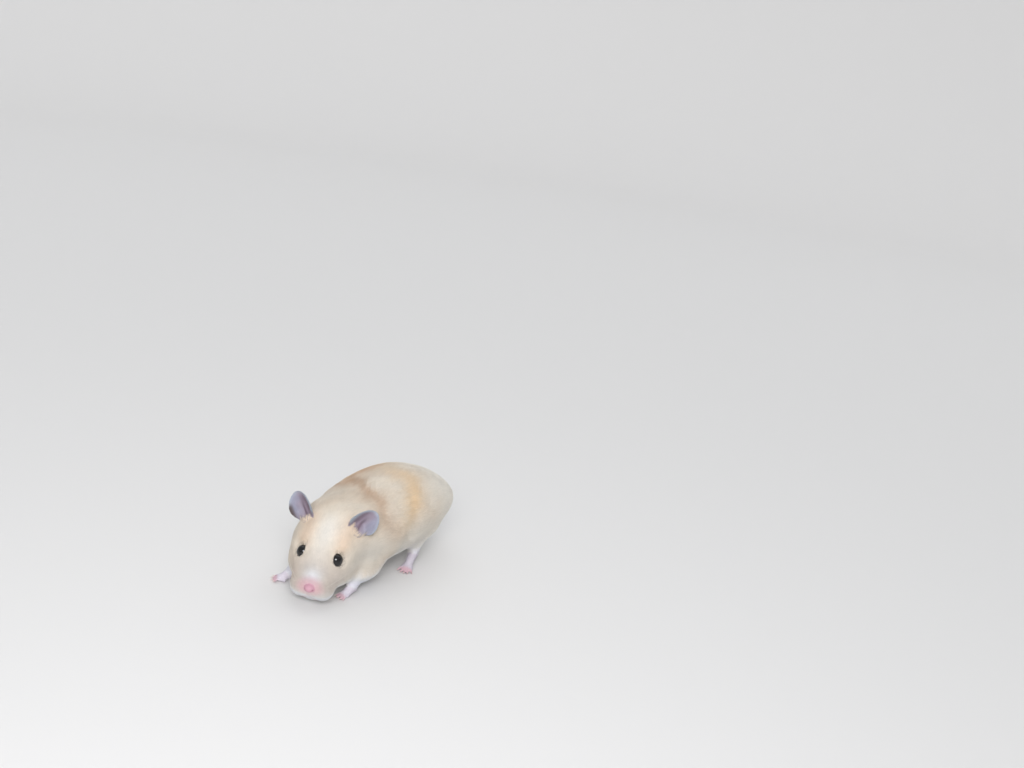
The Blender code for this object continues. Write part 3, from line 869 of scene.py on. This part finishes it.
def markings(points, weights):
    """The linear colour of the coat, or of the bare skin, at each point."""
    local = in_head(points)
    on_head = fall(14, 24, local[:, 1] + 0.12 * local[:, 2])
    colour = blended(body_colours(points), head_colours(points), on_head)
    colour = colour * (1 + 0.035 * ripple(points, 7, 4) + 0.03 * ripple(points, 2.4, 5))[:, None]
    colour = blended(colour, PAW_WHITE, weights["leg"] * fall(5, 13, points[:, 2]))
    for joint, _ in PAWS.values():
        by_joint = fall(2.0, 6.0, length(points - joint)) * (1 - weights["paw"])
        colour = blended(colour, TOE_PINK, 0.15 * by_joint)
    paw = step(0.3, 0.7, weights["paw"])
    colour = layered(
        colour,
        (PAW_WHITE, paw),
        (TOE_PINK, paw * (0.30 + 0.65 * along_toes(points))),
        (TOE_PINK, step(0.4, 0.8, weights["tail"]) * 0.8),
    )
    ears = step(0.35, 0.75, weights["ear"])
    for side in SIDES:
        tone, near = ear_colours(points, side)
        colour = blended(colour, tone, ears * near)
    lips = lip_distance(points)
    colour = layered(
        colour,
        (NOSE_PINK, fall(0.86, 1.22, from_nose_pad(points))),
        # painted shade in the nostrils' openings
        (NOSTRIL_SHADE, 0.85 * bump(0, 0.42, lines_distance(points, NOSTRILS))),
        (BLUSH, 0.6 * bump(0, 0.9, lips)),
        # the lips' own pink, darkest along the split of the mouth as painted shade in the crease
        (LIP_AND_SPLIT_SHADE, 0.8 * bump(0, 0.36, lips)),
    )
    return np.clip(colour, 0, 1)


def along_toes(points):
    """0 on the palms, sides and backs of the paws and 1 on their toes."""
    toes = np.zeros(len(points))
    for node in PAWS:
        origin, axes = paw_frame(node)
        own = (points - origin) @ axes.T
        knuckles = -4.8 if node.startswith("fore") else -10.8
        inside = length(own - (0, knuckles, 1)) < 8
        toes = np.maximum(toes, inside * fall(knuckles - 2.0, knuckles, own[:, 1]))
    return toes


def with_lids(points, colour):
    """The skin's colours with the dark edges of the lids."""
    for side in SIDES:
        distance, angle, opening = from_eye(points, side)
        rim = fall(0.3, 0.6, distance - EYE_RADIUS) * fall(3.0, 6.0, angle - opening)
        colour = blended(colour, LID, rim)
    return colour


SKIN_COLOURS = markings(SKIN_POINTS, SKIN_WEIGHTS)

# ---- the lie of the coat


def along_skin(ways, normals):
    """The ways without what points out of the skin or into it."""
    return unit(ways - (ways * normals).sum(1, keepdims=True) * normals)


def swung(ways, normals, angle):
    """The ways turned over the skin, each by its angle."""
    return ways * np.cos(angle)[:, None] + np.cross(normals, ways) * np.sin(angle)[:, None]


def lie_of_coat(points, normals, weights, near):
    """The direction in which the hair lies at each point of the skin, along its surface."""
    x, y, z = points.T
    ones = np.ones(len(points))
    back = np.stack([-0.05 * np.sign(x), ones, -0.30 * fall(20, 44, z)], -1)
    from_nose = unit(points - NOSE)
    flow = blended(unit(back), from_nose, fall(6, 30, in_head(points)[:, 1]))
    to_tail = unit(TAIL - (0, 3, 0) - points)
    flow = blended(flow, to_tail, 0.85 * step(36, 54, y))
    for eye in EYES.values():
        away = points - eye
        beside = fall(EYE_RADIUS, EYE_RADIUS + 3.5, length(away))
        flow = flow + 0.9 * beside[:, None] * unit(away)
    for node, (joint, _) in PAWS.items():
        leg = node.replace("forepaw", "foreleg").replace("hindfoot", "hindleg")
        side_near = fall(16, 30, length(points - joint))
        down = unit(joint - middle(leg) + (0, 0, -4))
        flow = blended(flow, down, weights["leg"] * side_near * fall(8, 20, z))
        flow = blended(flow, -paw_frame(node)[1][1], weights["paw"] * side_near)
    for root, axes in EARS.values():
        mine = length(points - root - axes[2] * EAR_LENGTH / 2) < EAR_LENGTH
        flow = blended(flow, axes[2], weights["ear"] * mine)
    flow = blended(flow, (0, 1.0, 0), step(0.3, 0.8, weights["tail"]))
    flow = near.softened(along_skin(flow, normals), 6)
    swirl = np.radians(13 * ripple(points, 22, 6) + 6 * ripple(points, 6, 7))
    swirl = swirl * step(8, 30, length(points - NOSE))
    return unit(swung(along_skin(flow, normals), normals, swirl))


def tuft_density(points, normals, sizes, weights):
    """How thickly the tufts stand at each point, on a scale of its own."""
    density = 1 / (sizes[:, 1] * sizes[:, 2]) ** 0.74
    density = density * (1 - 0.75 * step(0.3, 0.7, weights["ear"])) * (1 - 0.65 * weights["paw"])
    density *= from_bowls(points) > BARE_BOWL
    density *= (points[:, 2] >= SOLE_HEIGHT) | (normals[:, 2] >= -0.4)  # none under the soles
    density *= (from_nose_pad(points) > 0.98) & (lip_distance(points) > BARE_LIPS)
    for side in SIDES:
        distance, angle, opening = from_eye(points, side)
        density *= (angle >= opening + 1.5) | (distance >= EYE_RADIUS + 0.5)
    return density * fall(0.1, 0.7, weights["paw"] * along_toes(points))


def laid(places, roots, normals, heights):
    """The places at the given heights over the skin near them, where it faces as at the roots."""
    found = [SKIN_TREE.find_nearest(p) for p in places.tolist()]
    spots = np.array([f[0] for f in found])
    ways = np.array([f[1] for f in found])
    same = (ways * normals).sum(1) > 0.35
    same &= length(spots - places) < 0.5 * length(places - roots)
    lift = heights[:, None]
    return np.where(same[:, None], spots + ways * lift, places + normals * lift)


def clear_of_ears(root, mid, tip, normal):
    """Which tufts pass through no other skin; only those near the ears are looked at."""
    clear = np.ones(len(root), bool)
    for ear, axes in EARS.values():
        for row in np.nonzero(length(root - ear - axes[2] * 5) < 13)[0]:
            stops = [Vector(p) for p in (root[row] + normal[row] * 0.25, mid[row], tip[row])]
            for start, end in zip(stops, stops[1:]):
                way = end - start
                if SKIN_TREE.ray_cast(start, way.normalized(), way.length)[0] is not None:
                    clear[row] = False
    return clear


def hair(count, rng):
    """Roots and shapes of the tufts: a dictionary of arrays with one row for each."""
    normals = SKIN_NEAR.softened(SKIN_NORMALS, 3, fall(0.1, 0.5, SKIN_WEIGHTS["ear"]))
    flow = lie_of_coat(SKIN_POINTS, unit(normals), SKIN_WEIGHTS, SKIN_NEAR)
    density = tuft_density(SKIN_POINTS, SKIN_NORMALS, SKIN_SIZES, SKIN_WEIGHTS)
    a, b, c = (SKIN_POINTS[SKIN_FACES[:, i]] for i in range(3))
    area = length(np.cross(b - a, c - a)) / 2
    share = np.cumsum(area * density[SKIN_FACES].mean(1))
    picks = (np.arange(count) + rng.random(count)) / count * share[-1]
    face = np.minimum(np.searchsorted(share, picks), len(share) - 1)
    u, v = rng.random(count), rng.random(count)
    fold = u + v > 1
    u, v = np.where(fold, 1 - u, u), np.where(fold, 1 - v, v)
    parts = np.stack([1 - u - v, u, v], -1)
    rows = SKIN_FACES[face]

    def here(values):
        return (values[rows] * parts[..., None]).sum(1)

    root, normal, way = here(SKIN_POINTS), unit(here(normals)), here(flow)
    depth, long, half = here(SKIN_SIZES).T
    way = swung(along_skin(way, normal), normal, np.radians(rng.normal(0, 8.5, count)))
    long = long * rng.uniform(0.72, 1.08, count)
    for eye in EYES.values():
        beside = fall(EYE_RADIUS + 0.5, EYE_RADIUS + 1.4, length(root - eye))
        root = root - way * (0.30 * beside * long)[:, None]
    level = rng.random(count)
    rise = depth * (0.34 + 0.68 * level**0.85)
    reach = np.sqrt(np.maximum(long**2 - rise**2, (0.3 * long) ** 2))
    body = step(2.5, 5.5, long)
    mid = root + way * (0.42 * reach)[:, None] + normal * (0.84 * rise)[:, None]
    tip = root + way * reach[:, None] + normal * rise[:, None]
    far = long > 1.8
    for places, share, lift in ((mid, 0.42, 0.86), (tip, 1.0, 1.0)):
        spread = root[far] + way[far] * (share * reach[far])[:, None]
        places[far] = laid(spread, root[far], normal[far], lift * rise[far])
    bend = np.cross(normal, way) * (rng.normal(0, 0.045, count) * long)[:, None]
    mid, tip = mid + bend, tip - bend
    guides = rng.permutation(count)[: count // TUFTS_PER_LOCK]
    tree = KDTree(len(guides))
    for number, place in enumerate(root[guides].tolist()):
        tree.insert(place, number)
    tree.balance()
    leader = guides[np.array([tree.find(p)[1] for p in root.tolist()])]
    pull = (0.12 + 0.18 * body) * (length(root[leader] - root) < 0.6 * long)
    tip = tip + (tip[leader] - tip) * pull[:, None]
    mid = mid + (mid[leader] - mid) * (0.35 * pull)[:, None]
    shrink = np.where(clear_of_ears(root, mid, tip, normal), 1.0, 0.22)[:, None]
    mid, tip = root + (mid - root) * shrink, root + (tip - root) * shrink
    root = root - normal * np.minimum(0.12, 0.4 * depth)[:, None]
    for places in (mid, tip):
        places[:, 2] = np.maximum(places[:, 2], FLOOR_CLEARANCE)
    # Painted light: tufts lying low in the coat are made lighter, the highest a little darker,
    # against the shade among them.
    colour = here(SKIN_COLOURS) * (1.10 - 0.12 * level + rng.normal(0, 0.03, count))[:, None]
    half = half * (1.45 - 0.6 * level)
    shape = {"root": root, "mid": mid, "tip": tip, "normal": normal}
    return {**shape, "half": half, "colour": colour, "body": body}


# A tuft: a root, three corners round its waist and a tip.
TUFT_FACES = np.array(((0, 2, 1), (0, 3, 2), (0, 1, 3), (1, 2, 4), (2, 3, 4), (3, 1, 4)))
TUFT_UP = np.array((-1.0, 1, 1, -1, 1, 1))[:, None]  # the two under faces look down
TUFT_LEAN = np.array((0.0, -0.5, 0.5, 0.0, 0.0))[TUFT_FACES]
TUFT_PATCH = np.array(((0, -0.5), (-0.5, 0), (0.5, 0), (0, 0.12), (0, 0.5)))
TUFT_ROOT_LIGHT = np.array((1.05, 1.0, 1.0, 1.0, 1.0))  # from root to tip; painted light: the roots a little lighter against the shade among the tufts


def unwrap_of_skin():
    """A coarse copy of the skin, unwrapped: (points, faces, the place of each face's corners)."""
    coarse = added("unwrap", mesh_of("unwrap", SKIN_POINTS, SKIN_FACES))
    fewer = coarse.modifiers.new("fewer", "DECIMATE")
    fewer.ratio = UNWRAP_TRIANGLES / len(SKIN_FACES)
    coarse = baked(coarse, "unwrap")
    for other in bpy.context.selected_objects:
        other.select_set(False)
    bpy.context.view_layer.objects.active = coarse
    coarse.select_set(True)
    bpy.ops.object.mode_set(mode="EDIT")
    bpy.ops.mesh.select_all(action="SELECT")
    bpy.ops.uv.smart_project(angle_limit=math.radians(66), island_margin=0.004)
    bpy.ops.object.mode_set(mode="OBJECT")
    points, faces = arrays(coarse.data)
    loops = read(coarse.data.loop_triangles, "loops", 3)
    places = read(coarse.data.uv_layers.active.data, "uv", 2, np.float32).reshape(-1, 2)
    bpy.data.objects.remove(coarse)
    return points, faces, places[loops].reshape(-1, 3, 2)


def places_on_unwrap(points, unwrap):
    """Each point's place on the unwrap of the skin."""
    corners, faces, places = unwrap
    tree = BVHTree.FromPolygons(corners.tolist(), faces.tolist())
    found = [tree.find_nearest(p) for p in points.tolist()]
    face = np.array([f[2] for f in found])
    spot = np.array([f[0] for f in found])
    a, b, c = (corners[faces[face, i]] for i in range(3))
    total = np.cross(b - a, c - a)
    scale = np.maximum((total * total).sum(1), 1e-9)
    at_b = (np.cross(spot - a, c - a) * total).sum(1) / scale
    at_c = (np.cross(b - a, spot - a) * total).sum(1) / scale
    parts = np.clip(np.stack([1 - at_b - at_c, at_b, at_c], -1), 0, 1)
    return np.clip((places[face] * parts[..., None]).sum(1), 0.002, 0.998)


def coat_piece(name, tufts, places):
    """One joined mesh of closed, bent, tapering tufts."""
    root, mid, tip, normal = (tufts[k] for k in ("root", "mid", "tip", "normal"))
    half = tufts["half"][:, None]
    count = len(root)
    along = unit(tip - root)
    side = unit(np.cross(normal, along))
    up = unit(np.cross(along, side))
    waist = np.stack([mid - side * half, mid + side * half, mid + up * half * 0.8], 1)
    points = np.concatenate([root[:, None], waist, tip[:, None]], 1).reshape(-1, 3)
    points[:, 2] = np.maximum(points[:, 2], FLOOR_CLEARANCE * 0.8)
    triangles = (np.arange(count)[:, None, None] * 5 + TUFT_FACES).reshape(-1, 3)
    mesh = mesh_of(name, points, triangles)
    agree = step(0.5, 0.9, (normal * up).sum(1))
    over = unit(up + normal * (0.5 * agree)[:, None])
    facing = over[:, None, None] * TUFT_UP[..., None] + side[:, None, None] * TUFT_LEAN[..., None]
    mesh.normals_split_custom_set(unit(facing).reshape(-1, 3).tolist())
    tone = TUFT_ROOT_LIGHT[None, :] ** (0.35 + 0.65 * tufts["body"][:, None])
    coloured(mesh, np.clip(tufts["colour"][:, None] * tone[..., None], 0, 1).reshape(-1, 3))
    layer = mesh.uv_layers.new(name="OFBake")
    spots = (places[:, None] + TUFT_PATCH[None] * UV_PATCH).reshape(-1, 2)
    layer.data.foreach_set("uv", spots[triangles.ravel()].astype(np.float32).ravel())
    return added(name, mesh)


# ---- small parts


def eyeball(side):
    bpy.ops.mesh.primitive_uv_sphere_add(segments=56, ring_count=36, radius=EYE_RADIUS * MM)
    ball = bpy.context.object
    ball.data.transform(Matrix.Translation(Vector(EYES[side]) * MM))
    ball.data.shade_smooth()
    ball.name = "eye_" + side + "_gloss"
    return ball


def claws():
    rods = []
    t = np.linspace(0, 1, 7)
    for lines in TOES.values():
        for line in lines:
            ahead = unit((line[-1] - line[0]) * (1, 1, 0))
            path = line[-1] + ahead * (-0.35 + 1.25 * t[:, None])
            path[:, 2] += 0.28 + 0.18 * np.sin(t * 2.2) - 0.60 * t**2
            rods.append(rod(path, 0.20 * (1 - t) ** 0.6 + 0.02, 8))
    return added("claws", mesh_of("claws", *stacked(rods)))


def whiskers(rng):
    """Fine feelers from the whisker pads, swept back: four rows of three on each side."""
    rods = []
    t = np.linspace(0, 1, 12)
    for sign, row, place in product((1, -1), range(4), range(3)):
        back = -13.4 + 2.0 * place + rng.normal(0, 0.3)
        start = from_head((sign * (5.0 + 0.8 * place), back, -7.4 - 1.6 * row))
        spot, out, _, _ = SKIN_TREE.find_nearest(start.tolist())
        start = np.array(spot) - np.array(out) * 0.3
        reach = 6.5 + 3.0 * place + rng.uniform(-1.5, 1.5)
        way = turned((0.75, 0.25 + 0.2 * place, 0.34 - 0.26 * row + rng.normal(0, 0.1)), sign)
        swept = turned((0, 1.0, -0.3 + rng.normal(0, 0.1)), sign)
        path = start + way * (reach * t)[:, None] + swept * (0.45 * reach * t**2)[:, None]
        path[:, 2] = np.maximum(path[:, 2], 0.6 + 0.4 * t)
        rods.append(rod(path, 0.034 * (1 - t) ** 0.8 + 0.007, 4))
    return added("whiskers", mesh_of("whiskers", *stacked(rods)))


# ---- materials


def material(name, roughness, **sockets):
    """A principled material; sockets are its named inputs, as constants."""
    made = bpy.data.materials.new(name)
    made.use_nodes = True
    shader = made.node_tree.nodes["Principled BSDF"]
    shader.inputs["Roughness"].default_value = roughness
    for key, value in sockets.items():
        shader.inputs[key.replace("_", " ")].default_value = value
    return made


def noise(tree, where, size, detail):
    """The value of a noise over the object's own space, its size in mm."""
    made = tree.nodes.new("ShaderNodeTexNoise")
    made.inputs["Scale"].default_value = 1 / (size * MM)
    made.inputs["Detail"].default_value = detail
    tree.links.new(where.outputs["Object"], made.inputs["Vector"])
    return made.outputs["Fac"]


def marked(made, grain, grain_size, bump_depth=0.0, bump_size=1.0):
    """Colours the material by the markings, with a fine grain and an optional bump, in mm."""
    tree = made.node_tree
    new, link = tree.nodes.new, tree.links.new
    shader = tree.nodes["Principled BSDF"]
    colour = new("ShaderNodeAttribute")
    colour.attribute_name = "Markings"
    where = new("ShaderNodeTexCoord")
    spread = new("ShaderNodeMapRange")
    spread.inputs["To Min"].default_value = 1 - grain
    spread.inputs["To Max"].default_value = 1 + grain
    link(noise(tree, where, grain_size, 3), spread.inputs["Value"])
    times = new("ShaderNodeVectorMath")
    times.operation = "SCALE"
    link(colour.outputs["Color"], times.inputs[0])
    link(spread.outputs["Result"], times.inputs["Scale"])
    link(times.outputs["Vector"], shader.inputs["Base Color"])
    if bump_depth:
        lift = new("ShaderNodeBump")
        lift.inputs["Distance"].default_value = bump_depth * MM
        link(noise(tree, where, bump_size, 4), lift.inputs["Height"])
        link(lift.outputs["Normal"], shader.inputs["Normal"])
    return made


FUR = material("fur", 0.6, Sheen_Weight=0.3, Sheen_Roughness=0.4, Specular_IOR_Level=0.25)
marked(FUR, 0.05, 1.2)
# The skin's materials: (name, roughness, shine, grain, its size, depth of its bumps, their size).
SKIN_KINDS = [
    marked(material(name, roughness, Specular_IOR_Level=shine), *grain)
    for name, roughness, shine, *grain in (
        ("undercoat", 0.8, 0.2, 0.05, 0.6, 0.10, 0.35),
        ("ear skin", 0.55, 0.35, 0.08, 0.8, 0.10, 0.35),
        ("paw skin", 0.5, 0.4, 0.05, 0.8, 0.10, 0.4),
        ("nose skin", 0.45, 0.5, 0.04, 0.5, 0.12, 0.22),
    )
]
EYE = material("eye", 0.05, Base_Color=(0.004, 0.003, 0.003, 1), Specular_IOR_Level=0.6)
CLAW = material("claw", 0.35, Base_Color=(*paint(226, 205, 196), 1))
WHISKER = material("whisker", 0.4, Base_Color=(*paint(236, 230, 222), 1))


def clothe_skin():
    """Gives the skin its markings and its bare places their own materials."""
    mesh = skin.data
    coloured(mesh, with_lids(SKIN_POINTS, SKIN_COLOURS))
    for made in SKIN_KINDS:
        mesh.materials.append(made)
    kind = np.zeros(len(SKIN_POINTS), np.int32)  # which of them
    kind[SKIN_WEIGHTS["ear"] > 0.5] = 1
    kind[(SKIN_WEIGHTS["paw"] > 0.5) | (SKIN_WEIGHTS["tail"] > 0.5)] = 2
    kind[from_nose_pad(SKIN_POINTS) < 1.08] = 3
    first = read(mesh.loops, "vertex_index")[read(mesh.polygons, "loop_start")]
    mesh.polygons.foreach_set("material_index", kind[first])
    mesh.shade_smooth()


# ---- the object

rng = np.random.default_rng(SEED)
tuft_count = TUFTS
tufts = hair(tuft_count, rng)
places = places_on_unwrap(tufts["root"], unwrap_of_skin())
clothe_skin()
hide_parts(*FLESH, "ear_left", "ear_right")
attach(skin, BODY)

order = np.argsort(tufts["root"][:, 1], kind="stable")
for number, rows in enumerate(np.array_split(order, math.ceil(tuft_count / TUFTS_PER_PIECE))):
    piece = coat_piece(f"coat_{number}", {k: v[rows] for k, v in tufts.items()}, places[rows])
    piece.data.materials.append(FUR)
    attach(piece, BODY)

for side in SIDES:
    ball = eyeball(side)
    ball.data.materials.append(EYE)
    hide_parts("eye_" + side)
    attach(ball, BODY)

for made, finish, slot in ((claws(), CLAW, "paws"), (whiskers(rng), WHISKER, "coat")):
    made.data.materials.append(finish)
    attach(made, BODY)

# ---- floor, light and camera


def studio(radius=4.0, cove=1.6, wall=2.0, columns=128):
    """A pale floor that curves up into a low wall far out all round, so that no edge shows."""
    bend = np.linspace(0, math.pi / 2, 25)
    out = np.concatenate([(0.4, 1.0, 1.7), radius - cove + cove * np.sin(bend), (radius,)])
    high = np.concatenate([(0, 0, 0), cove - cove * np.cos(bend), (wall,)])
    turn = np.arange(columns) * math.tau / columns
    high = np.outer(high, np.ones(columns))
    rings = np.stack([np.outer(out, np.cos(turn)), np.outer(out, np.sin(turn)), high], -1)
    points = np.concatenate([rings.reshape(-1, 3), ((0, 0, 0),)])
    faces = closed_rings(len(out), columns)  # the wall ends open
    floor = added("floor", mesh_of("floor", points / MM, faces[(faces < len(points)).all(1)]))
    floor.data.materials.append(material("floor", 0.9, Base_Color=(*paint(231, 229, 227), 1)))


def lamp(name, kind, place, aim, size, strength, colour):
    """A soft lamp, places in metres; size: metres for a round AREA lamp, degrees for a SUN."""
    light = bpy.data.lights.new(name, kind)
    light.energy, light.color = strength, colour
    if kind == "AREA":
        light.shape, light.size = "DISK", size
    else:
        light.angle = math.radians(size)
    made = added(name, light)
    made.location = place
    made.rotation_mode = "QUATERNION"
    made.rotation_quaternion = (Vector(aim) - Vector(place)).to_track_quat("-Z", "Y")


CAMERA_FROM_EYES = Vector((0.252653, -0.349196, 0.216613))
CAMERA_RIGHT = Vector((0.869308, 0.470840, 0.150374))
CAMERA_UP = Vector((-0.259766, 0.176381, 0.949427))


def camera():
    lens = bpy.data.cameras.new("camera")
    lens.lens, lens.sensor_width = 36, 36
    lens.clip_start, lens.clip_end = 0.01, 20
    made = added("camera", lens)
    behind = CAMERA_RIGHT.cross(CAMERA_UP)
    facing = Matrix((CAMERA_RIGHT, CAMERA_UP, behind)).transposed().to_4x4()
    place = Vector(BETWEEN_EYES) * MM + CAMERA_FROM_EYES
    made.matrix_world = Matrix.Translation(place) @ facing
    bpy.context.scene.camera = made


CHEST = (0, -0.03, 0.02)
COOL_LIGHT = (0.975, 0.98, 1.0)

studio()
lamp("key", "AREA", (0.225, -0.452, 0.34), CHEST, 0.26, 1.15, COOL_LIGHT)
lamp("room key", "SUN", (0.29, -0.41, 0.34), CHEST, 24, 1.04, COOL_LIGHT)
lamp("over", "SUN", (-0.25, 0.60, 0.90), (0, 0, 0.02), 70, 0.75, (0.98, 0.985, 1.0))
sky = bpy.data.worlds.new("sky")
sky.use_nodes = True
background = sky.node_tree.nodes["Background"]
background.inputs["Color"].default_value = (0.92, 0.96, 1.0, 1)
background.inputs["Strength"].default_value = 0.50
bpy.context.scene.world = sky
bpy.context.scene.view_settings.view_transform = "Standard"
camera()
